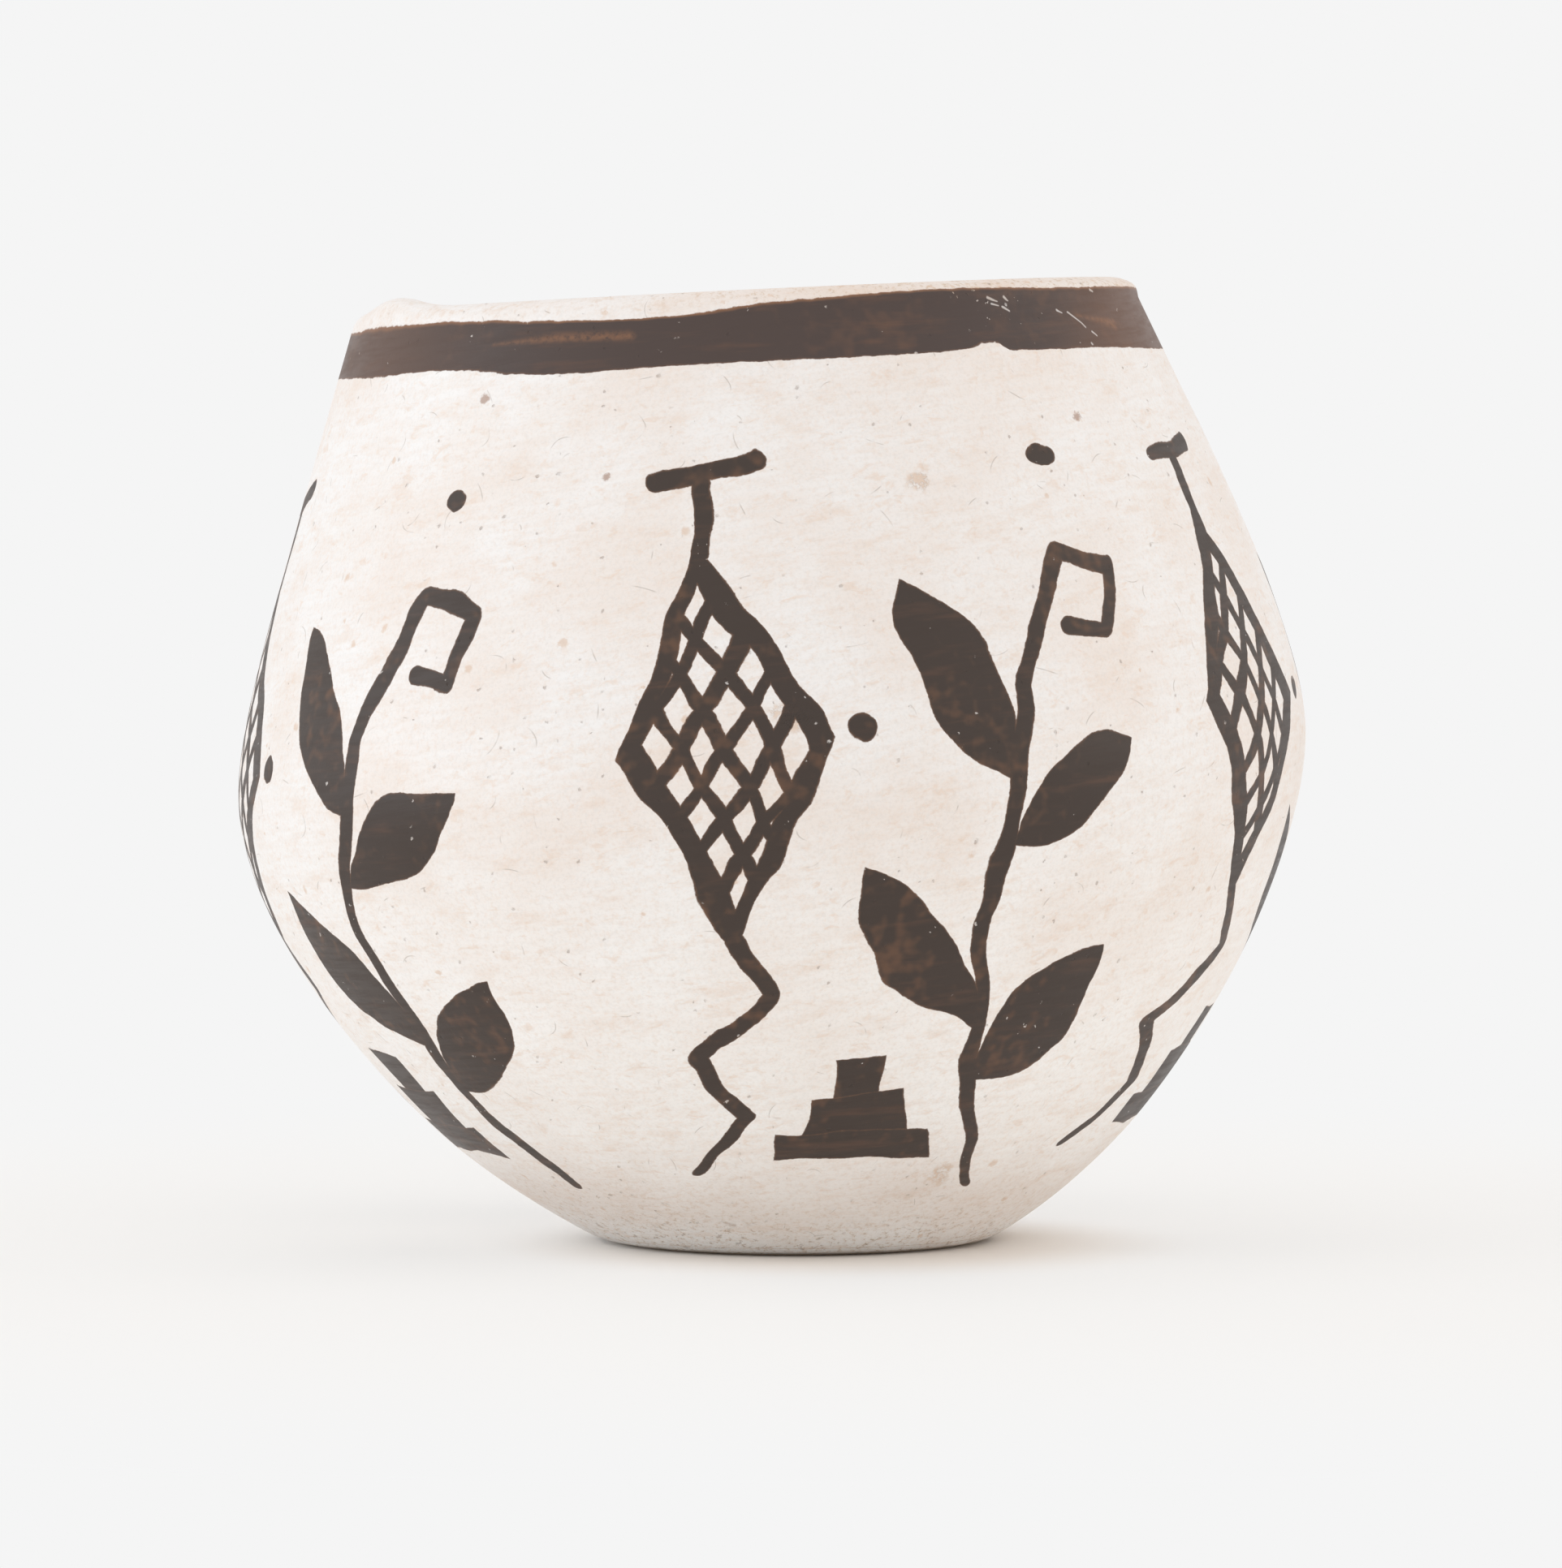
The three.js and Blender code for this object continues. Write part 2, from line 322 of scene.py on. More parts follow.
def squared_lip(corner, sizes, turn, reach, height):
    """How far the lip's outer upper edge goes out on its higher side, so that it is less round there."""
    middle = sizes.crest_height - sizes.lip_round
    across, up = reach - sizes.crest_radius, height - middle
    lean = np.clip(np.arctan2(up, across), 0, math.pi / 2)
    push = corner * smooth(np.cos(turn), *CORNER_SIDE) * np.sin(2 * lean) ** 2
    return np.where((up > 0) & (across > 0), across * push, 0)


def shape_by_hand(spots, outline):
    """Carries points of the true round pot to the lopsided one."""
    sizes, hand = bpy.context.scene.pot_sizes, bpy.context.scene.pot_hand
    turn = np.arctan2(spots[:, 1], spots[:, 0])
    reach, height = np.hypot(spots[:, 0], spots[:, 1]), spots[:, 2]
    felt = np.sin(math.pi * np.clip(height / sizes.crest_height, 0, 1))
    reach = reach + squared_lip(hand.lip_corner, sizes, turn, reach, height)
    waves = hand_waves(hand, reach, turn, height) * smooth(height, 0, sizes.foot_round)
    bulge = hand.out_of_round * np.sin(2 * turn) * felt + waves
    reach = reach + bulge * smooth(reach, 0, sizes.foot_radius)
    across = reach * np.cos(turn)
    lean = through((0, hand.belly_lean, hand.rim_lean), sizes, height)
    off_nub = np.angle(np.exp(1j * (turn - hand.nub_turn))) / hand.nub_width
    nub = hand.nub_height * np.exp(-off_nub * off_nub)
    nub = nub * smooth(height, sizes.crest_height - hand.nub_depth, sizes.crest_height)
    aside = across + drift_at(height) + sideways_shift(outline)
    return np.stack([aside, reach * np.sin(turn), height + across * np.tan(lean) + nub], 1)


# ---- Modelling by hand ----

SAME_POINT = MM / 1000
DECIMALS = 7


def turned_piece(name, section, steps):
    """Draws a cross-section of distances from the axis and heights, and spins it into a closed piece."""
    bpy.ops.object.select_all(action="DESELECT")
    bpy.ops.mesh.primitive_plane_add(size=MM)
    piece = bpy.context.object
    piece.name = piece.data.name = name
    bpy.ops.object.mode_set(mode="EDIT")
    bpy.ops.mesh.select_all(action="SELECT")
    bpy.ops.mesh.merge(type="CENTER")
    first = section[0]
    bpy.ops.transform.translate(value=(first[0], 0, first[1]))
    for across, up in np.diff(section, axis=0):
        bpy.ops.mesh.extrude_region_move(TRANSFORM_OT_translate={"value": (across, 0, up)})
    bpy.ops.mesh.select_all(action="SELECT")
    bpy.ops.mesh.spin(steps=steps, angle=FULL_TURN, center=(0, 0, 0), axis=(0, 0, 1))
    bpy.ops.mesh.select_all(action="SELECT")
    bpy.ops.mesh.remove_doubles(threshold=SAME_POINT)
    bpy.ops.mesh.normals_make_consistent(inside=False)
    bpy.ops.object.mode_set(mode="OBJECT")
    return piece


def points_of(mesh):
    """The places of a mesh's points as one table."""
    flat = np.zeros(len(mesh.vertices) * 3)
    mesh.vertices.foreach_get("co", flat)
    return flat.reshape(-1, 3)


def keep_wall_place(piece, outline):
    """Keeps where each point lies on the wall, in millimetres: round the axis, and along the outline."""
    spots = points_of(piece.data)
    side = np.stack([np.hypot(spots[:, 0], spots[:, 1]), spots[:, 2]], 1)
    rows, row_of = np.unique(np.round(side, DECIMALS), axis=0, return_inverse=True)
    gaps = np.hypot(*(rows[:, None, :] - outline.places[None, :, :]).transpose(2, 0, 1))
    within = gaps.min(1) > outline.sizes.lip_round
    down_inside = outline.lip_end + outline.sizes.crest_height - rows[:, 1]
    along = np.where(within, down_inside, outline.along[gaps.argmin(1)])
    kept = np.column_stack([spots[:, :2], along[row_of.ravel()]]) / MM
    marks = piece.data.attributes.new("wall_place", "FLOAT_VECTOR", "POINT")
    marks.data.foreach_set("vector", kept.ravel())


# ---- Wiring materials ----


class Field:
    """What a node puts out. Arithmetic with fields adds the nodes that do it."""

    def __init__(self, socket):
        self.socket = socket
        self.tree = socket.id_data

    def __add__(self, other):
        return maths("ADD", self, other)

    def __sub__(self, other):
        return maths("SUBTRACT", self, other)

    def __rsub__(self, other):
        return maths("SUBTRACT", other, self)

    def __mul__(self, other):
        return maths("MULTIPLY", self, other)

    def __truediv__(self, other):
        return maths("DIVIDE", self, other)

    def __rtruediv__(self, other):
        return maths("DIVIDE", other, self)

    def __abs__(self):
        return maths("ABSOLUTE", self)


def feed(inlet, value):
    """Links a field to an inlet, or sets a fixed value: colours without alpha, places with or without z."""
    if isinstance(value, Field):
        inlet.id_data.links.new(value.socket, inlet)
    elif inlet.type == "RGBA":
        inlet.default_value = (*value, 1.0)
    elif inlet.type == "VECTOR":
        inlet.default_value = (*value, 0.0)[:3] if isinstance(value, tuple) else (value,) * 3
    else:
        inlet.default_value = value


def node(tree, kind, values=(), **settings):
    """Adds a node; the values for its inlets come in order, or by number or name."""
    made = tree.nodes.new("ShaderNode" + kind)
    for name, value in settings.items():
        setattr(made, name, value)
    for place, value in values.items() if isinstance(values, dict) else enumerate(values):
        feed(made.inputs[place], value)
    return made


def outlets(made):
    return {outlet.name: Field(outlet) for outlet in made.outputs}


def field(kind, values, outlet=0, tree=None, **settings):
    """An outlet of a new node, in the given tree or else in that of the first field it reads."""
    if tree is None:
        given = values.values() if isinstance(values, dict) else values
        tree = next(value.tree for value in given if isinstance(value, Field))
    return Field(node(tree, kind, values, **settings).outputs[outlet])


def maths(operation, *values, clamp=False):
    """A sum on numbers, or on vectors if any value is one; a number then counts for all three parts."""
    vectors = [v for v in values if isinstance(v, tuple) or isinstance(v, Field) and v.socket.type != "VALUE"]
    if not vectors:
        return field("Math", values, operation=operation, use_clamp=clamp)
    outlet = "Value" if operation in ("DOT_PRODUCT", "LENGTH") else "Vector"
    return field("VectorMath", values, outlet, operation=operation)


def least(*values):
    return reduce(lambda first, second: maths("MINIMUM", first, second), values)


def most(*values):
    return reduce(lambda first, second: maths("MAXIMUM", first, second), values)


def step(value, low, high):
    """Rises smoothly from 0 at low to 1 at high, or falls where high is the smaller."""
    rising = field("MapRange", [value, min(low, high), max(low, high)], interpolation_type="SMOOTHSTEP")
    return rising if low < high else 1.0 - rising


def noise(place, scale, detail=2.0, roughness=0.5, distortion=0.0, outlet="Fac"):
    values = {"Vector": place, "Scale": scale, "Detail": detail, "Roughness": roughness}
    return field("TexNoise", {**values, "Distortion": distortion}, outlet)


def cloud(place, scale, low, high, *character):
    """Noise from where it starts to where it is full; its character is detail, roughness and distortion."""
    return step(noise(place, scale, *character), low, high)


def cells(place, scale, **settings):
    return outlets(node(place.tree, "TexVoronoi", {"Vector": place, "Scale": scale}, feature="F1", **settings))


def between(factor, first, second):
    return field("Mix", {0: factor, 2: first, 3: second})


def blend(factor, first, second):
    return field("Mix", {0: factor, 6: first, 7: second}, 2, data_type="RGBA")


def layered(base, *layers):
    """Lays colours over each other: where each lies, how much it covers there, and its name."""
    colours = bpy.context.scene.pot_colours
    for mask, cover, name in layers:
        base = blend(mask * cover, base, getattr(colours, name))
    return base


def split(place):
    return outlets(node(place.tree, "SeparateXYZ", [place])).values()


def joined(x=0.0, y=0.0, z=0.0):
    return field("CombineXYZ", [x, y, z])


VECTOR, NUMBER = "NodeSocketVector", "NodeSocketFloat"


def build_group(wire):
    """Builds a node group from the function that wires it: it takes the inlets and returns the outlets."""
    tree = bpy.data.node_groups.new(wire.__name__, "ShaderNodeTree")
    for name, kind in wire.__annotations__.items():
        tree.interface.new_socket(name.replace("_", " ").title(), in_out="INPUT", socket_type=kind)
    results = wire(*(Field(outlet) for outlet in tree.nodes.new("NodeGroupInput").outputs[:-1]))
    for name, result in results.items():
        kind = NUMBER if result.socket.type == "VALUE" else VECTOR
        tree.interface.new_socket(name, in_out="OUTPUT", socket_type=kind)
    leave = tree.nodes.new("NodeGroupOutput")
    for name, result in results.items():
        feed(leave.inputs[name], result)
    return tree


def use(wire, *values, **named):
    """Places a node group, built on first use, with its inlets fed in order or by name."""
    group = bpy.data.node_groups.get(wire.__name__) or build_group(wire)
    made = values[0].tree.nodes.new("ShaderNodeGroup")
    made.node_tree = group
    for inlet, value in zip(made.inputs, values):
        feed(inlet, value)
    for inlet, value in named.items():
        feed(made.inputs[inlet.title()], value)
    return outlets(made)


def new_tree(owner):
    """The empty node tree of a new material or world."""
    owner.use_nodes = True
    owner.node_tree.nodes.clear()
    return owner.node_tree


SPECULAR_LEVEL = 0.4


def close_material(base, roughness, height, depth):
    """The shader of a clay surface, with its relief given in millimetres of depth."""
    bump = field("Bump", {"Strength": 1.0, "Distance": depth * MM, "Height": height})
    values = {"Base Color": base, "Roughness": roughness, "Normal": bump, "Specular IOR Level": SPECULAR_LEVEL}
    node(base.tree, "OutputMaterial", [field("BsdfPrincipled", values)])


# ---- Paint: brush shapes as distances in millimetres ----


def off_line(place, start, end, held):
    """The share of a line that is passed at a place, and how far off the line the place lies."""
    away, run = place - start, end - start
    passed = maths("DIVIDE", maths("DOT_PRODUCT", away, run), maths("DOT_PRODUCT", run, run), clamp=held)
    return passed, maths("LENGTH", away - run * passed)


def brush_stroke(place: VECTOR, start: VECTOR, end: VECTOR, start_width: NUMBER, end_width: NUMBER):
    """A straight stroke with round ends, from one width to another."""
    passed, off = off_line(place, start, end, held=True)
    return {"Distance": off - between(passed, start_width, end_width) * 0.5}


def solid_leaf(place: VECTOR, start: VECTOR, end: VECTOR, width: NUMBER):
    """A solid leaf with two pointed ends."""
    passed, off = off_line(place, start, end, held=False)
    return {"Distance": off - passed * (1.0 - passed) * 2.0 * width}


def solid_block(place: VECTOR, middle: VECTOR, half_size: VECTOR):
    """A solid upright block, given by its middle and half its size."""
    across, up, _ = split(abs(place - middle) - half_size)
    return {"Distance": most(across, up)}


HATCH_LEANS = (math.radians(27), math.radians(-38))
HATCH_LINE = 0.36


def hatched_lozenge(place: VECTOR, middle: VECTOR, half_size: VECTOR, line: NUMBER, pitch: NUMBER):
    """A lozenge with a drawn edge, filled with crossing lines."""
    off = place - middle
    part_across, part_up, _ = split(abs(off) / half_size)
    half_wide, half_tall, _ = split(half_size)
    reach = half_wide * half_tall / maths("LENGTH", joined(half_wide, half_tall))
    border = (part_across + part_up - 1.0) * reach
    rows = [maths("DOT_PRODUCT", off, (math.cos(lean), math.sin(lean))) for lean in HATCH_LEANS]
    hatch = least(*(maths("PINGPONG", across, pitch * 0.5) - line * HATCH_LINE for across in rows))
    return {"Distance": least(abs(border) - line * 0.5, most(hatch, border))}


# Each motif lies in one repeat: millimetres to the right of its middle and up the wall from the foot.
MOTIF_MIDDLE = 35.0
STROKES = [
    # zigzag under the lozenge
    ((-9.4, 29.6), (-7.0, 25.6), 1.15, 1.1),
    ((-7.0, 25.6), (-11.4, 21.2), 1.1, 1.2),
    ((-11.4, 21.2), (-8.0, 16.6), 1.2, 1.1),
    ((-8.0, 16.6), (-10.6, 11.8), 1.15, 0.8),
    # stroke over the lozenge with its crossbar
    ((-9.0, 51.6), (-8.3, 56.6), 1.1, 1.1),
    ((-11.4, 56.2), (-5.2, 57.4), 1.0, 1.15),
    # stem, bent over at its tip
    ((6.4, 10.2), (5.4, 20.5), 0.8, 1.1),
    ((5.4, 20.5), (6.3, 31.5), 1.1, 1.15),
    ((6.3, 31.5), (9.0, 42.4), 1.15, 1.2),
    ((9.0, 42.4), (12.6, 50.6), 1.2, 1.1),
    ((12.6, 50.6), (16.4, 49.4), 1.1, 1.15),
    ((16.4, 49.4), (15.6, 45.4), 1.15, 1.0),
    ((15.6, 45.4), (12.9, 45.9), 1.0, 1.2),
    # dots
    ((12.8, 56.4), (13.1, 56.2), 1.4, 1.4),
    ((-1.4, 41.0), (-1.1, 40.8), 1.4, 1.4),
]
LEAVES = [
    ((5.5, 22.0), (-1.9, 33.4), 4.8),
    ((5.4, 18.6), (14.6, 26.8), 5.2),
    ((7.9, 37.6), (1.7, 49.4), 4.6),
    ((7.2, 33.4), (16.6, 39.2), 4.6),
]
BLOCKS = [((-1.5, 14.0), (4.5, 1.2)), ((-1.4, 16.6), (3.1, 1.5)), ((-1.5, 19.5), (1.6, 1.5))]
LOZENGES = [((-9.4, 40.6), (5.9, 10.9), 1.2, 2.25)]
MOTIFS = {brush_stroke: STROKES, solid_leaf: LEAVES, solid_block: BLOCKS, hatched_lozenge: LOZENGES}

# How much a repeat departs from the others: millimetres aside, slant, and the least and the added height.
ASIDE, SLANT, LEAST_TALL, MORE_TALL = 2.4, 0.09, 0.95, 0.10
SLOW_BEND = (2.6, 2.0, 0)
QUICK_BEND = (0.13, 0.13, 0)
CHANCE_START = 0.37


def frieze(wall_place: VECTOR, slow: VECTOR, quick: VECTOR, turn: NUMBER):
    """The painted frieze as the distance to the nearest paint, each repeat drawn a little differently."""
    detail = bpy.context.scene.pot_detail
    x, y, up = split(wall_place)
    pace = FULL_TURN / detail.repeats
    turn = turn + detail.frieze_turn
    repeat = maths("ROUND", turn * (1 / pace))
    own_number = maths("FLOORED_MODULO", repeat, float(detail.repeats))
    chance = field("TexWhiteNoise", {"W": own_number + CHANCE_START}, "Color", noise_dimensions="1D")
    aside, slant, stretch = split(chance)
    from_middle = up - MOTIF_MIDDLE
    across = (turn - repeat * pace) * maths("LENGTH", joined(x, y)) + (aside - 0.5) * ASIDE
    across = across + (slant - 0.5) * from_middle * SLANT
    tall = from_middle * (stretch * MORE_TALL + LEAST_TALL) + MOTIF_MIDDLE
    drawn = joined(across, tall) + slow * SLOW_BEND + quick * QUICK_BEND
    shapes = [use(kind, drawn, *row)["Distance"] for kind, rows in MOTIFS.items() for row in rows]
    return {"Distance": least(*shapes)}


# The band under the lip: share of the way round from the back, and millimetres up the wall.
BAND_LOW = [
    (0.0, 64.0), (0.10, 64.4), (0.20, 64.2), (0.26, 64.45), (0.333, 64.42), (0.371, 64.53), (0.432, 63.93),
    (0.464, 64.03), (0.494, 64.03), (0.536, 63.93), (0.587, 64.05), (0.5955, 64.36), (0.6025, 64.27),
    (0.6055, 63.81), (0.653, 63.67), (0.73, 63.36), (0.82, 63.6), (0.91, 63.5), (1.0, 64.0),
]
BAND_HIGH = [
    (0.0, 67.6), (0.10, 67.3), (0.20, 67.5), (0.26, 67.36), (0.31, 67.36), (0.345, 67.46), (0.374, 67.52),
    (0.444, 67.18), (0.473, 67.18), (0.505, 67.60), (0.527, 67.74), (0.579, 67.98), (0.642, 67.79),
    (0.716, 67.76), (0.80, 67.5), (0.90, 67.4), (1.0, 67.6),
]
BAND_SPAN = (60.0, 72.0)
BAND_WAVER = 0.17
# Its scratches and pale trails: degrees round the pot and millimetres up the wall, then both widths.
SCRATCHES = [
    ((-37.9, 66.19), (-35.0, 65.07)), ((-40.2, 66.36), (-39.3, 66.16)), ((-33.8, 64.74), (-33.0, 64.44)),
    ((-53.1, 67.37), (-51.5, 67.12)), ((-52.6, 66.94), (-51.5, 66.77)), ((-50.1, 67.37), (-49.5, 67.14)),
    ((-50.8, 66.67), (-49.8, 66.43)), ((-30.3, 67.60), (-29.6, 67.50)),
]
SCRATCH_WIDTHS = (0.15, 0.09)
TRAILS = [
    ((-127.0, 66.0), (-117.0, 66.2), 0.10, 0.55),
    ((-117.0, 66.2), (-105.8, 66.05), 0.55, 0.60),
    ((-36.0, 65.9), (-27.0, 65.2), 0.20, 0.70),
]
ROUND_RADIUS = 24.0


def on_wall(turned, up):
    """A place on the unrolled wall, from degrees round the pot and millimetres up the wall."""
    return math.radians(turned) * ROUND_RADIUS, up


def curve_round(where, points):
    """A height up the wall that changes round the pot."""
    low, high = BAND_SPAN
    made = node(where.tree, "FloatCurve", {"Value": where})
    line = made.mapping.curves[0]
    first, *others, last = [(place, (up - low) / (high - low)) for place, up in points]
    line.points[0].location, line.points[1].location = first, last
    for spot in others:
        line.points.new(*spot)
    made.mapping.update()
    return Field(made.outputs[0]) * (high - low) + low


def nearest_stroke(round_place, strokes):
    """The distance to the nearest of a few strokes given in degrees and millimetres."""
    ends = [(on_wall(*start), on_wall(*end), *widths) for start, end, *widths in strokes]
    return least(*(use(brush_stroke, round_place, *row)["Distance"] for row in ends))


def lip_band(round_place: VECTOR, quick: VECTOR, turn: NUMBER):
    """The band under the lip: distances to its paint, its upper edge, its scratches and its thin trails."""
    where = maths("FRACT", turn * (1 / FULL_TURN) + 0.75)
    (_, up, _), (bend, _, _) = split(round_place), split(quick)
    drawn = up + bend * BAND_WAVER
    over = drawn - curve_round(where, BAND_HIGH)
    return {
        "Distance": most(curve_round(where, BAND_LOW) - drawn, over),
        "Upper": over,
        "Scratch": nearest_stroke(round_place, [(*ends, *SCRATCH_WIDTHS) for ends in SCRATCHES]),
        "Trail": nearest_stroke(round_place, TRAILS),
    }


# ---- Surface effects that more than one material uses ----

WAVER_PACES = {"Slow": 0.17, "Quick": 1.05}


def waver(point: VECTOR):
    """How the hand wavers: a slow and a quick bend, each about 0.3 either way."""
    return {name: noise(point, pace, 1.0, outlet="Color") - 0.5 for name, pace in WAVER_PACES.items()}


def grit(place: VECTOR, spacing: NUMBER, size: NUMBER):
    """A small dot in each cell of a lattice, and a chance that is the same all over the cell."""
    lattice = cells(place, 1.0 / spacing)
    chance, growth, _ = split(lattice["Color"])
    own_size = size * between(growth, 0.35, 1.0)
    inside = maths("SUBTRACT", 1.0, lattice["Distance"] * spacing / own_size, clamp=True)
    return {"Dot": step(inside, 0.0, 0.55), "Chance": chance}


def hairlines(round_place: VECTOR, spacing: NUMBER, width: NUMBER, held: NUMBER):
    """Short fine cracks, each bent a little, one in some cells of a lattice round the wall."""
    pace = 1.0 / spacing
    lattice = cells(round_place, pace, voronoi_dimensions="2D")
    chance, heading, bend = split(lattice["Color"])
    off_x, off_y, _ = split(round_place - lattice["Position"])
    lean = heading * FULL_TURN
    cosine, sine = maths("COSINE", lean), maths("SINE", lean)
    along = off_x * cosine + off_y * sine
    across = off_y * cosine - off_x * sine
    curve = along * along * (bend * 1.8 - 0.9)
    line = maths("SUBTRACT", 1.0, abs(across + curve) / width, clamp=True)
    half_length = maths("FRACT", chance * 37.0) * 0.30 + 0.10
    ends = step(abs(along) * pace / half_length, 1.0, 0.5)
    return {"Mask": line * ends * maths("LESS_THAN", chance, held)}


def mottle(point: VECTOR, wall_place: VECTOR):
    """Clouds, blotches, polishing streaks, flecks, powder and grain of a hand-rubbed surface."""
    sideways, _, _ = split(point)
    slanted = wall_place + joined(z=sideways * -0.10)
    dabbed, wiped, rubbed = (slanted * (drawn_out, drawn_out, 1.0) for drawn_out in (0.5, 0.36, 0.12))
    return {
        "Cloud": cloud(point, 0.12, 0.36, 0.70),
        "Blotch": cloud(wiped, 0.72, 0.50, 0.72, 4.0, 0.74),
        "Streak": cloud(rubbed, 2.3, 0.34, 0.72, 2.0, 0.6),
        "Fleck": cloud(dabbed, 1.5, 0.56, 0.72, 3.0, 0.66, 0.5),
        "Powder": cloud(point, 5.5, 0.42, 0.74, 1.0, 0.6),
        "Grain": noise(point, 2.6, 3.0, 0.72),
    }


def surface_places(tree):
    """The point on the piece and its place on the wall, both in millimetres."""
    point = field("TexCoord", (), "Object", tree) * (1 / MM)
    wall = field("Attribute", (), "Vector", tree, attribute_name="wall_place", attribute_type="GEOMETRY")
    return point, wall


# ---- The slip and its paint ----

# A few single marks on the front: degrees round the pot, millimetres up the wall, and size.
GRAINS = [(-127.0, 62.72, 0.42), (-44.1, 59.24, 0.40), (-108.0, 57.4, 0.3)]
BLISTERS = [(-87.5, 42.31, 1.0), (-70.2, 55.94, 0.8), (-63.0, 10.4, 1.0)]
WORN_TURN = math.radians(-48)
WORN_SIDE = (math.cos(WORN_TURN) / ROUND_RADIUS, math.sin(WORN_TURN) / ROUND_RADIUS, 0)
FINE_GRIT = {"spacing": 0.66, "size": 0.16}
COARSE_GRIT = {"spacing": 2.6, "size": 0.42}
CLAY_GRIT = {"spacing": 1.1, "size": 0.30}
CRACKS = {"spacing": 2.3, "width": 0.048, "held": 0.42}
# Millimetres up the wall between which each zone comes in; the first line counts from the lip. Most are zones
# of wear; the low-wall zone is painted bounce light, where the slip is made paler for the light the table
# throws up.
LIP_ZONE, CREST_ZONE = (-0.4, 0.6), (-0.5, 0.2)
# The scrape fades out below 9 mm and stops 3 mm over the table, so the lowest wall stays paler: painted light
# against the shade there.
PAINTED_BOUNCE_ZONE, FOOT_ZONE, SCRAPE_AND_PAINTED_LIGHT_ZONE = (44.0, 16.0), (14.0, 2.0), (3.0, 9.0)
PITTED_ZONE, BARE_ZONE = (7.5, 3.0), (2.0, 1.2)
# Millimetres from the drawn edge between which the paint, and each paler place in it, comes in.
BRUSH_EDGE, PALE_EDGE, UPPER_EDGE = (0.035, -0.035), (-0.14, 0.0), (-0.22, 0.0)
SCRATCH_EDGE, TRAIL_EDGE = (0.04, -0.04), (0.22, -0.30)
EDGE_GRAIN = 0.16
SLIP_ROUGH, WORN_ROUGH, PAINT_ROUGH = 0.50, 0.85, 0.48
SLIP_RELIEF, CLAY_RELIEF = 0.12, 0.15


def marks_at(round_place, marks):
    """The nearest of a few single marks, as the share of its size from its middle."""
    spots = [(on_wall(turned, up), 1 / size) for turned, up, size in marks]
    return least(*(maths("LENGTH", round_place - spot) * pace for spot, pace in spots))


class SlippedSurface:
    """What slip and paint both follow: places in millimetres, the hand's waver, worn zones and grit."""

    def __init__(self, tree, outline):
        self.point, self.wall = surface_places(tree)
        self.x, self.y, self.up = split(self.wall)
        self.turn = maths("ARCTAN2", self.y, self.x)
        self.round_place = joined(self.turn * ROUND_RADIUS, self.up)
        self.slow, self.quick = use(waver, self.point).values()
        self.slow_x, self.slow_y, _ = split(self.slow)
        self.quick_x, self.quick_y, _ = split(self.quick)
        self.rubbing = use(mottle, self.point, self.wall)
        self.grain = self.rubbing["Grain"]
        self.lip_up = outline.lip_start / MM
        self.worn_side = step(maths("DOT_PRODUCT", self.wall, WORN_SIDE), 0.3, 0.95)
        on_lip = step(self.up + self.slow_x - self.lip_up, *LIP_ZONE)
        self.lip_zone = on_lip * most(self.worn_side, 0.2)
        self.foot_zone = step(self.up + self.slow_x * 8.0, *FOOT_ZONE)
        self.worn_zone = most(self.foot_zone, self.lip_zone)
        self.bent_point = self.point + self.quick * 0.35
        self.jagged = self.bent_point + (self.grain - 0.5) * (0.5, -0.4, 0.5)
        self.fine_dot, self.fine_chance = use(grit, self.jagged, **FINE_GRIT).values()


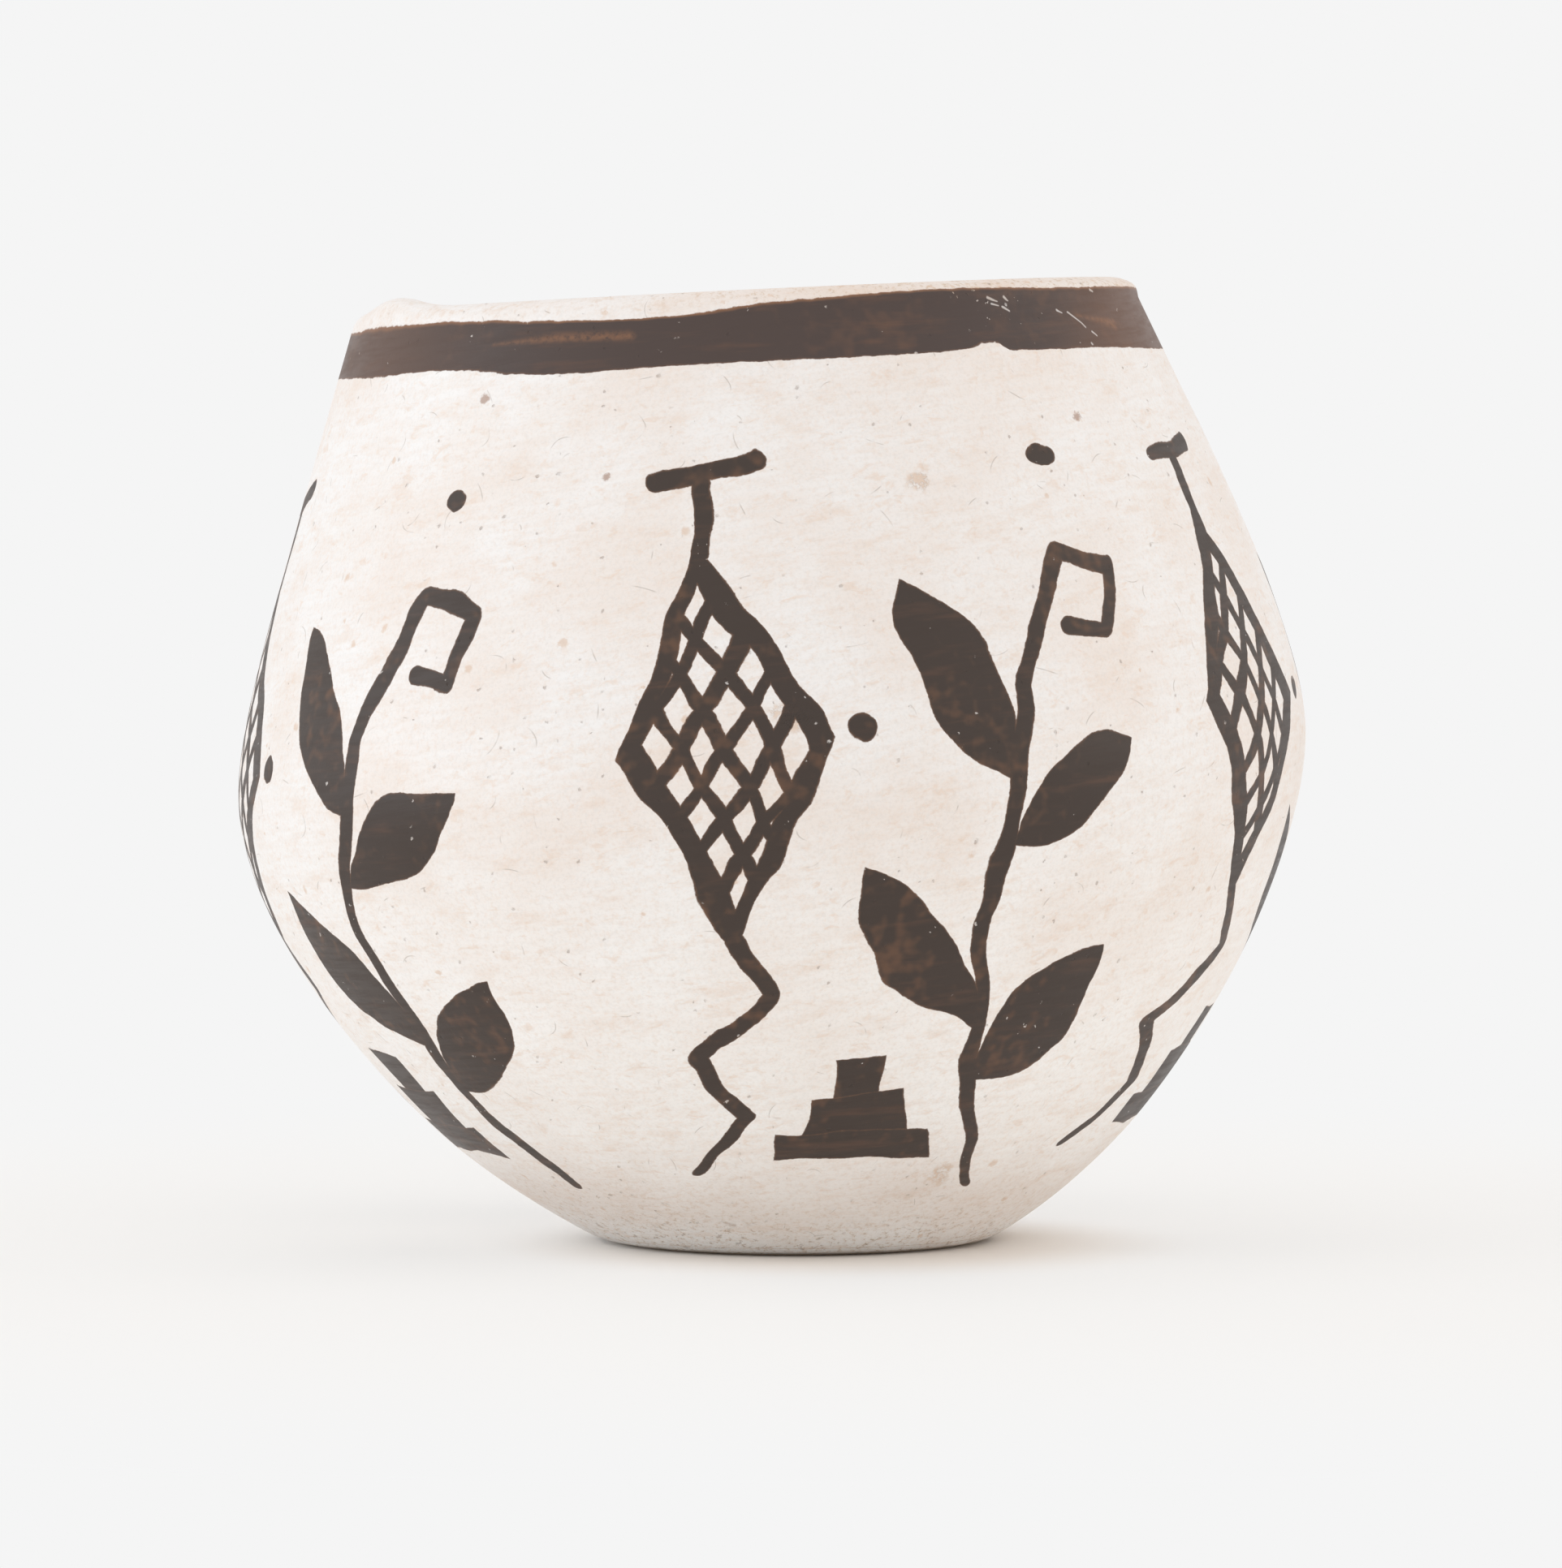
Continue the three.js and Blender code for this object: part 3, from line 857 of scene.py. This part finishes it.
def slip_colour(skin):
    """The slip's colour, and the height of its specks and blisters."""
    colours = bpy.context.scene.pot_colours
    rubbing, grain, up = skin.rubbing, skin.grain, skin.up
    # Painted bounce light: low on the wall the slip is paler and less buff, for the light the table throws up.
    painted_bounce_low = step(up, *PAINTED_BOUNCE_ZONE)
    ragged = skin.slow_y * 2.4 + skin.quick_y * 2.2 + grain * 1.2
    fine_share = skin.worn_zone * 0.5 + 0.2
    specks = skin.fine_dot * maths("LESS_THAN", skin.fine_chance, fine_share) * step(grain, 0.34, 0.60)
    coarse_dot, coarse_chance = use(grit, skin.jagged, **COARSE_GRIT).values()
    spots = coarse_dot * maths("LESS_THAN", coarse_chance, 0.45)
    cracks = use(hairlines, skin.round_place, **CRACKS)["Mask"] * step(skin.quick_x, -0.12, 0.10)
    grains = step(marks_at(skin.round_place, GRAINS) + (grain - 0.5) * 1.6, 0.9, 0.4)
    blisters = step(marks_at(skin.round_place, BLISTERS) + skin.quick_x * 1.6, 1.2, 0.5)
    blisters = blisters * step(grain, 0.40, 0.56)
    on_crest = step(up - skin.lip_up, *CREST_ZONE) * most(skin.worn_side, 0.5)
    lip_flecks = cloud(skin.point, 1.5, 0.59, 0.68, 3.0, 0.6) * on_crest
    scribble = cloud(skin.bent_point * (0.7, 0.7, 1.5), 1.0, 0.60, 0.66, 3.0, 0.7, 1.4)
    near_foot = step(up + skin.quick_y + skin.slow_x * 6.0, *PITTED_ZONE)
    pits = most(step(grain, 0.60, 0.70), scribble) * near_foot
    slip = layered(
        blend(painted_bounce_low, colours.slip, colours.slip_thick),
        (rubbing["Cloud"], between(painted_bounce_low, 0.42, 0.20), "buff"),
        (rubbing["Streak"], between(painted_bounce_low, 0.22, 0.12), "buff"),
        (rubbing["Blotch"], 0.30, "blush"),
        (rubbing["Fleck"], 0.38, "blush"),
        (step(grain, 0.46, 0.76), 0.26, "blush"),
        (rubbing["Powder"], 0.13, "powder"),
        # Scraped slip over the foot, kept off the wall just over the table as painted light against the shade
        # there.
        (skin.foot_zone * step(up, *SCRAPE_AND_PAINTED_LIGHT_ZONE), 0.60, "scrape"),
        (skin.lip_zone, 0.35, "blush"),
        (skin.worn_zone * step(grain, 0.50, 0.68), between(skin.lip_zone, 0.50, 0.75), "clay"),
        (most(spots, blisters, lip_flecks), 0.5, "spot"),
        (most(specks, pits), 0.42, "speck"),
        (grains, 0.7, "grain"),
        (cracks, 0.62, "crack"),
        (step(up + ragged, *BARE_ZONE), 0.7, "clay_dark"),
    )
    return slip, specks + blisters


def paint_colour(skin):
    """Where the paint covers the slip, and its colour there."""
    colours = bpy.context.scene.pot_colours
    grain, slow_x, quick_x = skin.grain, skin.slow_x, skin.quick_x
    ornament = use(frieze, skin.wall, skin.slow, skin.quick, skin.turn)["Distance"]
    band = use(lip_band, skin.round_place, skin.quick, skin.turn)
    distance = least(ornament, band["Distance"]) + (grain - 0.5) * EDGE_GRAIN
    pinholes = skin.fine_dot * maths("GREATER_THAN", skin.fine_chance, 0.90)
    chips = step(grain, 0.655, 0.675) * step(slow_x + quick_x, 0.20, 0.28)
    scratched = step(band["Scratch"], *SCRATCH_EDGE) * 0.75
    rubbed = most(most(pinholes, chips) * 0.7, scratched)
    mask = step(distance, *BRUSH_EDGE) * (1.0 - rubbed * 0.8)
    in_band = step(band["Distance"], 0.2, 0.0)
    thin = cloud(skin.wall * (0.20, 0.20, 1.3), 0.8, 0.52, 0.78, 3.0, 0.6)
    watery = step(skin.quick_y + skin.slow_y + grain * 0.12, 0.10, 0.50)
    # The band's two ends seen from the front, fuller on the right, take thin paint: partly real thin paint and
    # partly painted sheen where the band turns away at the sides.
    ends = most(step(skin.x, 17.0, 23.0), step(skin.x, -14.0, -23.0) * 0.6) * in_band * step(skin.y, 12.0, 1.0)
    # Inside the band the paint takes the band colour, which is partly painted glare over the lip.
    film = layered(
        blend(in_band, colours.paint, colours.band),
        (ends, 0.8, "paint_thin"),
        (thin, between(in_band, 0.35, 0.42), "paint_thin"),
        (watery, between(in_band, 0.30, 0.14), "paint_edge"),
        (step(band["Trail"], *TRAIL_EDGE) * step(grain, 0.22, 0.62), 0.6, "paint_edge"),
        (step(distance, *PALE_EDGE), 0.32, "paint_edge"),
        (step(band["Upper"], *UPPER_EDGE) * in_band, 0.75, "paint_edge"),
    )
    return mask, film


def polished_slip(tree, outline):
    """White slip, stone-polished, with the dark paint brushed over it."""
    skin = SlippedSurface(tree, outline)
    slip, bumps = slip_colour(skin)
    painted, film = paint_colour(skin)
    streak = skin.rubbing["Streak"]
    rough = between(painted, between(skin.worn_zone, SLIP_ROUGH, WORN_ROUGH), PAINT_ROUGH)
    rough = rough + (streak - 0.5) * 0.10
    height = skin.grain * (skin.foot_zone * 0.5 + 0.08) + streak * 0.05 - bumps * 0.35
    close_material(blend(painted, slip, film), rough, height, SLIP_RELIEF)


def bare_clay(tree, outline):
    """Fired clay, smoothed by fingers and left bare."""
    point, wall = surface_places(tree)
    rubbing = use(mottle, point, wall)
    dot, chance = use(grit, point, **CLAY_GRIT).values()
    specks = dot * maths("LESS_THAN", chance, 0.5)
    wipes = cloud(wall * (0.12, 0.12, 1.0), 0.9, 0.3, 0.72, 3.0)
    base = layered(
        bpy.context.scene.pot_colours.clay,
        (rubbing["Cloud"], 0.5, "clay_dark"),
        (wipes, 0.35, "buff"),
        (rubbing["Blotch"], 0.3, "spot"),
        (specks, 0.55, "speck"),
    )
    height = wipes * 0.6 + rubbing["Grain"] * 0.5 - specks * 0.6
    close_material(base, between(wipes, 0.92, 0.78), height, CLAY_RELIEF)


FINISHES = {"white_slip": polished_slip, "fired_clay": bare_clay}


def prepared_material(slot, outline):
    """The material for a slot of the record, made on first use."""
    wire = FINISHES[slot]
    if wire.__name__ not in bpy.data.materials:
        wire(new_tree(bpy.data.materials.new(wire.__name__)), outline)
    return bpy.data.materials[wire.__name__]


def build_piece(name, section, steps, outline, slot, *nodes):
    """Turns a section, gives it the hand's shape and the slot's finish, and sets it on the frame."""
    piece = turned_piece(name, section, steps)
    keep_wall_place(piece, outline)
    piece.data.vertices.foreach_set("co", shape_by_hand(points_of(piece.data), outline).ravel())
    piece.data.update()
    bpy.ops.object.shade_smooth()
    piece.data.materials.clear()
    piece.data.materials.append(prepared_material(slot, outline))
    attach(piece, "root")
    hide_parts(*nodes)


# ---- Operators: one for each piece or group of like pieces ----


class POT_OT_slipped_skin(bpy.types.Operator):
    """Lays the white slip over the outside, round the lip and a little way down inside"""

    bl_idname = "pot.slipped_skin"
    bl_label = "Slipped skin"

    UNDER_CLAY = 0.00006
    ROWS_INSIDE = 8
    ROWS_ON_LIP = 16
    ROWS_UNDER_LIP = 5
    ROWS_BEHIND = 12

    def execute(self, context):
        sizes, detail = context.scene.pot_sizes, context.scene.pot_detail
        outline = Outline(sizes)
        lip_start, lip_end = outline.lip_start, outline.lip_end
        wall = np.linspace(outline.length_at(sizes.slip_edge), lip_start, detail.skin_rows)
        heights = np.interp(wall, outline.along, outline.places[:, 1])
        over_lip = np.linspace(lip_start, lip_end, self.ROWS_ON_LIP)[1:]
        down = np.linspace(outline.neck_top, outline.neck_top - sizes.slip_inside, self.ROWS_INSIDE)[1:]
        cover = sizes.slip_thickness * np.linspace(1, 0, self.ROWS_INSIDE)[1:]
        section = [
            outline.place(wall, -outline.slip_depth(heights)),
            outline.place(over_lip, -sizes.slip_thickness),
            outline.inside(down, cover),
            outline.inside(down[::-3], -self.UNDER_CLAY),
            outline.place(np.linspace(lip_end, lip_start, self.ROWS_UNDER_LIP), self.UNDER_CLAY),
            outline.place(np.linspace(lip_start, wall[0], self.ROWS_BEHIND)[1:], self.UNDER_CLAY),
        ]
        closed = np.concatenate([*section, section[0][:1]])
        build_piece("slipped_skin", closed, detail.skin_steps, outline, "white_slip", "slip_coat", "rim_band")
        return {"FINISHED"}


class POT_OT_base_clay(bpy.types.Operator):
    """Presses the base pad: flat foot, floor and the first turned-up wall"""

    bl_idname = "pot.base_clay"
    bl_label = "Base pad"

    ROWS_ON_FLAT = 10
    ROWS_OUTSIDE = 24

    def execute(self, context):
        sizes, detail = context.scene.pot_sizes, context.scene.pot_detail
        outline = Outline(sizes)
        flat = np.linspace(0, sizes.foot_radius, self.ROWS_ON_FLAT)[:-1]
        under = np.stack([flat, np.zeros_like(flat)], 1)
        outside = outline.place(np.linspace(0, outline.length_at(sizes.pad_height), self.ROWS_OUTSIDE))
        top_inside = sizes.pad_height - sizes.lap_drop
        inside = outline.inside(np.linspace(top_inside, outline.foot_top, detail.clay_rows))
        edge = inside[-1]
        part = np.linspace(1, 0, detail.clay_rows)[1:]
        rise = sizes.floor_thickness + (edge[1] - sizes.floor_thickness) * part**2
        floor = np.stack([edge[0] * part, rise], 1)
        section = np.concatenate([under, outside, inside, floor])
        build_piece("base_clay", section, detail.clay_steps, outline, "fired_clay", "base_pad")
        return {"FINISHED"}


class POT_OT_coil_clay(bpy.types.Operator):
    """Lays the coils of the wall, each lapped over the one below"""

    bl_idname = "pot.coil_clay"
    bl_label = "Wall coils"

    NODES = ("lower_wall_coil", "belly_coil", "shoulder_coil", "neck_coil", "rim_coil")
    ROWS_OUTSIDE = 8
    GROOVE = 0.00022
    GROOVE_SHARE = 0.06
    SWELL_SHAPE = 0.7
    SMOOTHED_FROM = 0.55

    def inner_face(self, outline, low, high, rows, last):
        """The inside of a coil: swollen, with a finger groove where it meets the next."""
        heights = np.linspace(low, high, rows)
        part = np.linspace(0, 1, rows)
        swell = outline.sizes.coil_swell * np.sin(math.pi * part) ** self.SWELL_SHAPE
        ends = np.exp(-((part / self.GROOVE_SHARE) ** 2))
        if last:
            swell = swell * (1 - smooth(part, self.SMOOTHED_FROM, 1.0))
        else:
            ends = ends + np.exp(-(((1 - part) / self.GROOVE_SHARE) ** 2))
        return outline.inside(heights, swell - self.GROOVE * ends)

    def execute(self, context):
        sizes, detail = context.scene.pot_sizes, context.scene.pot_detail
        outline = Outline(sizes)
        bottoms = np.linspace(sizes.pad_height, sizes.crest_height, len(self.NODES) + 1)
        for coil, low, high in zip(self.NODES, bottoms[:-1], bottoms[1:]):
            last = coil == self.NODES[-1]
            high = outline.neck_top if last else high
            outer = np.linspace(outline.length_at(low), outline.length_at(high), self.ROWS_OUTSIDE)
            over = np.linspace(outer[-1], outline.lip_end, self.ROWS_OUTSIDE)[1:-1] if last else outer[:0]
            inner_low, inner_high = low - sizes.lap_drop, high if last else high - sizes.lap_drop
            inside = self.inner_face(outline, inner_low, inner_high, detail.clay_rows, last)[::-1]
            outside = outline.place(np.concatenate([outer, over]))
            section = np.concatenate([outside, inside, outside[:1]])
            name = coil.replace("coil", "clay")
            build_piece(name, section, detail.clay_steps, outline, "fired_clay", coil)
        return {"FINISHED"}


def seen_directly(tree):
    """Where the camera looks straight at table or world, or sees it mirrored."""
    path = outlets(node(tree, "LightPath"))
    return most(path["Is Camera Ray"], path["Is Glossy Ray"], path["Is Transmission Ray"])


class POT_OT_stage(bpy.types.Operator):
    """Sets up the table, the lamps and the camera"""

    bl_idname = "pot.stage"
    bl_label = "Stage"

    TABLE_SIZE = 8.0
    LAMP_SIZE = 0.9
    LAMP_DISTANCE = 0.95
    # Name of the lamp's power, degrees to the right of the camera, degrees up, and tint.
    LAMPS = (
        ("left_lamp", -78, 2, (0.84, 0.92, 1.0)),
        ("right_lamp", 82, 4, (1.0, 0.92, 0.84)),
        ("top_lamp", 0, 86, (1.0, 1.0, 1.0)),
    )
    AIM = Vector((0, 0, 0.03))
    SHADOW_MIDDLE = (0.0044, -0.004, 0)
    SHADOW_REACH = (0.011, 0.023)
    SHADOW_LIFT = 0.62
    TABLE_FADE = (0.05, 0.12)
    CLIP = (0.05, 20)

    def add_table(self, stage):
        bpy.ops.object.select_all(action="DESELECT")
        bpy.ops.mesh.primitive_grid_add(x_subdivisions=8, y_subdivisions=8, size=self.TABLE_SIZE)
        table = bpy.context.object
        table.name = "table_top"
        material = bpy.data.materials.new("table_white")
        tree = new_tree(material)
        near = maths("LENGTH", field("TexCoord", (), "Object", tree) - self.SHADOW_MIDDLE)
        shade = step(near, *self.SHADOW_REACH) * self.SHADOW_LIFT
        lifted = seen_directly(tree) * between(step(near, *self.TABLE_FADE), shade, 1.0)
        # The matt table's warm tint, seen in the shadow near the pot, is painted bounce light from the clay.
        matt = field("BsdfDiffuse", {"Color": stage.table}, tree=tree)
        glow = field("Emission", {"Color": stage.white, "Strength": 1.0}, tree=tree)
        node(tree, "OutputMaterial", [field("MixShader", [lifted, matt, glow])])
        table.data.materials.append(material)

    def add_world(self, scene, stage):
        scene.world = bpy.data.worlds.new("soft_room")
        tree = new_tree(scene.world)
        light = field("Background", {"Color": (1, 1, 1), "Strength": stage.ambient}, tree=tree)
        white = field("Background", {"Color": stage.white, "Strength": 1.0}, tree=tree)
        node(tree, "OutputWorld", [field("MixShader", [seen_directly(tree), light, white])])

    def add_lamps(self, stage):
        for name, turned, raised, tint in self.LAMPS:
            across, lift = math.radians(turned), math.radians(raised)
            level = math.cos(lift)
            heading = Vector((math.sin(across) * level, -math.cos(across) * level, math.sin(lift)))
            bpy.ops.object.light_add(type="AREA", location=self.AIM + heading * self.LAMP_DISTANCE)
            lamp = bpy.context.object
            lamp.name = name
            lamp.rotation_euler = (-heading).to_track_quat("-Z", "Y").to_euler()
            lamp.data.shape = "DISK"
            lamp.data.size = self.LAMP_SIZE
            lamp.data.energy = getattr(stage, name)
            lamp.data.color = tint
            lamp.visible_camera = False

    def add_camera(self, scene, stage):
        bpy.ops.object.camera_add(
            location=(stage.camera_aside, -stage.camera_distance, stage.camera_height),
            rotation=(math.pi / 2 - stage.camera_pitch, 0, 0),
        )
        camera = bpy.context.object
        camera.name = "photo_camera"
        camera.data.lens = stage.camera_lens
        camera.data.clip_start, camera.data.clip_end = self.CLIP
        scene.camera = camera

    def execute(self, context):
        scene, stage = context.scene, context.scene.pot_stage
        self.add_table(stage)
        self.add_world(scene, stage)
        self.add_lamps(stage)
        self.add_camera(scene, stage)
        scene.view_settings.view_transform = "Standard"
        return {"FINISHED"}


class POT_PT_panel(bpy.types.Panel):
    """Lists the steps that build the pot"""

    bl_idname = "POT_PT_panel"
    bl_label = "Clay pot"
    bl_space_type = "VIEW_3D"
    bl_region_type = "UI"
    bl_category = "Clay pot"

    def draw(self, context):
        for operator in STEPS:
            self.layout.operator(operator.bl_idname)
        for settings in SETTINGS:
            box = self.layout.box()
            group = getattr(context.scene, settings)
            for name in group.__annotations__:
                box.prop(group, name)


STEPS = (POT_OT_slipped_skin, POT_OT_base_clay, POT_OT_coil_clay, POT_OT_stage)
SETTINGS = {
    "pot_sizes": PotSizes,
    "pot_hand": PotHand,
    "pot_colours": PotColours,
    "pot_detail": PotDetail,
    "pot_stage": PotStage,
}


def register():
    for kind in (*SETTINGS.values(), *STEPS, POT_PT_panel):
        bpy.utils.register_class(kind)
    for name, kind in SETTINGS.items():
        setattr(bpy.types.Scene, name, PointerProperty(type=kind))


def unregister():
    for name in SETTINGS:
        delattr(bpy.types.Scene, name)
    for kind in (POT_PT_panel, *STEPS[::-1], *reversed(SETTINGS.values())):
        bpy.utils.unregister_class(kind)


def main():
    register()
    bpy.ops.pot.slipped_skin()
    bpy.ops.pot.base_clay()
    bpy.ops.pot.coil_clay()
    bpy.ops.pot.stage()


if __name__ == "__main__":
    main()
